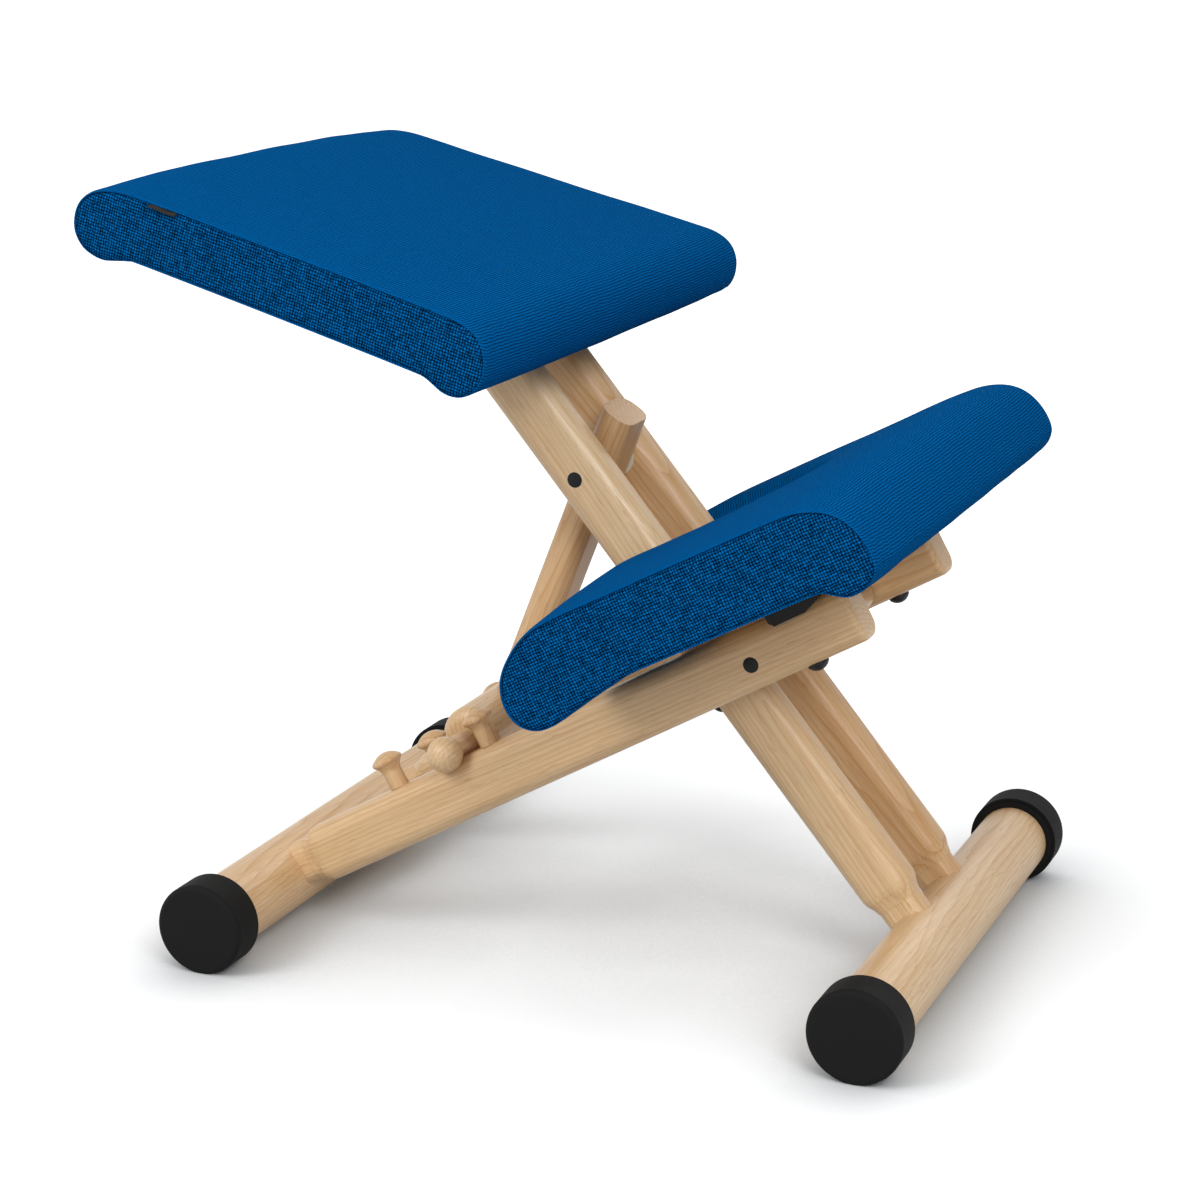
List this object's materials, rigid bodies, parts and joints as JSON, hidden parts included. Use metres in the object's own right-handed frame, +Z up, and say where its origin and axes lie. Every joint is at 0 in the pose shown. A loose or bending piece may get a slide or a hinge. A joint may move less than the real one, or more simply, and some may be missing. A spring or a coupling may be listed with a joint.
{
  "type": "kneeling chair",
  "caption": "Wooden kneeling chair: crossed folding frames on round foot rails, a strut with a crossbar that drops between pegs, a sloping seat and a notched knee pad.",
  "frame": {"origin": "middle of the whole chair's bounding box, on the floor", "axes": "+X to the front, where the knees rest; +Y to the sitter's left; +Z up"},
  "size_m": [0.5606, 0.446, 0.5253],
  "materials": {
    "oak": "pale oak, satin lacquer, grain along each piece",
    "plywood": "birch plywood, unfinished",
    "fabric_blue": "royal blue woven wool over foam",
    "rubber_black": "matte black rubber",
    "plastic_black": "matte black plastic",
    "steel_black": "black coated steel",
    "steel_zinc": "zinc plated steel",
    "nylon_white": "natural nylon"
  },
  "bodies": {
    "knee_frame": {"knee_beam_left": "oak", "knee_beam_right": "oak", "knee_pad_board": "plywood", "knee_pad_cushion": "fabric_blue", "pad_bolt_left": "steel_black", "pad_bolt_right": "steel_black", "pad_saddle_left": "plastic_black", "pad_saddle_right": "plastic_black", "pad_tee_nut_left": "steel_zinc", "pad_tee_nut_right": "steel_zinc", "peg_front_left": "oak", "peg_front_right": "oak", "peg_middle_left": "oak", "peg_middle_right": "oak", "peg_rear_left": "oak", "peg_rear_right": "oak", "pivot_plug_left": "plastic_black", "pivot_plug_right": "plastic_black", "rear_cap_left": "rubber_black", "rear_cap_right": "rubber_black", "rear_rail": "oak"},
    "seat_frame": {"bracket_screws": "steel_zinc", "cross_rail": "oak", "cross_rail_bolt_left": "steel_black", "cross_rail_bolt_right": "steel_black", "front_cap_left": "rubber_black", "front_cap_right": "rubber_black", "front_rail": "oak", "pivot_pin_left": "steel_zinc", "pivot_pin_right": "steel_zinc", "pivot_washer_left": "nylon_white", "pivot_washer_right": "nylon_white", "seat_beam_left": "oak", "seat_beam_right": "oak", "seat_board": "plywood", "seat_bracket_left": "steel_zinc", "seat_bracket_right": "steel_zinc", "seat_cushion": "fabric_blue", "strut_bolt": "steel_zinc", "strut_bolt_plug_left": "plastic_black", "strut_bolt_plug_right": "plastic_black", "strut_washer_left": "nylon_white", "strut_washer_right": "nylon_white"},
    "strut": {"crossbar_ball_left": "oak", "crossbar_ball_right": "oak", "strut": "oak", "strut_crossbar": "oak", "strut_roller": "oak"}
  },
  "joints": [
    {"name": "frame_fold", "type": "hinge", "parent": "knee_frame", "child": "seat_frame", "pos_m": [0.14418, 0, 0.22815], "axis": [0, 1, 0], "range_deg": [0, 45]},
    {"name": "strut_swing", "type": "hinge", "parent": "seat_frame", "child": "strut", "pos_m": [0.00128, 0, 0.32538], "axis": [0, 1, 0], "range_deg": [-15, 0]}
  ],
  "couplings": [
    {"joint": "strut_swing", "follows": "frame_fold", "ratio": -0.33333}
  ]
}
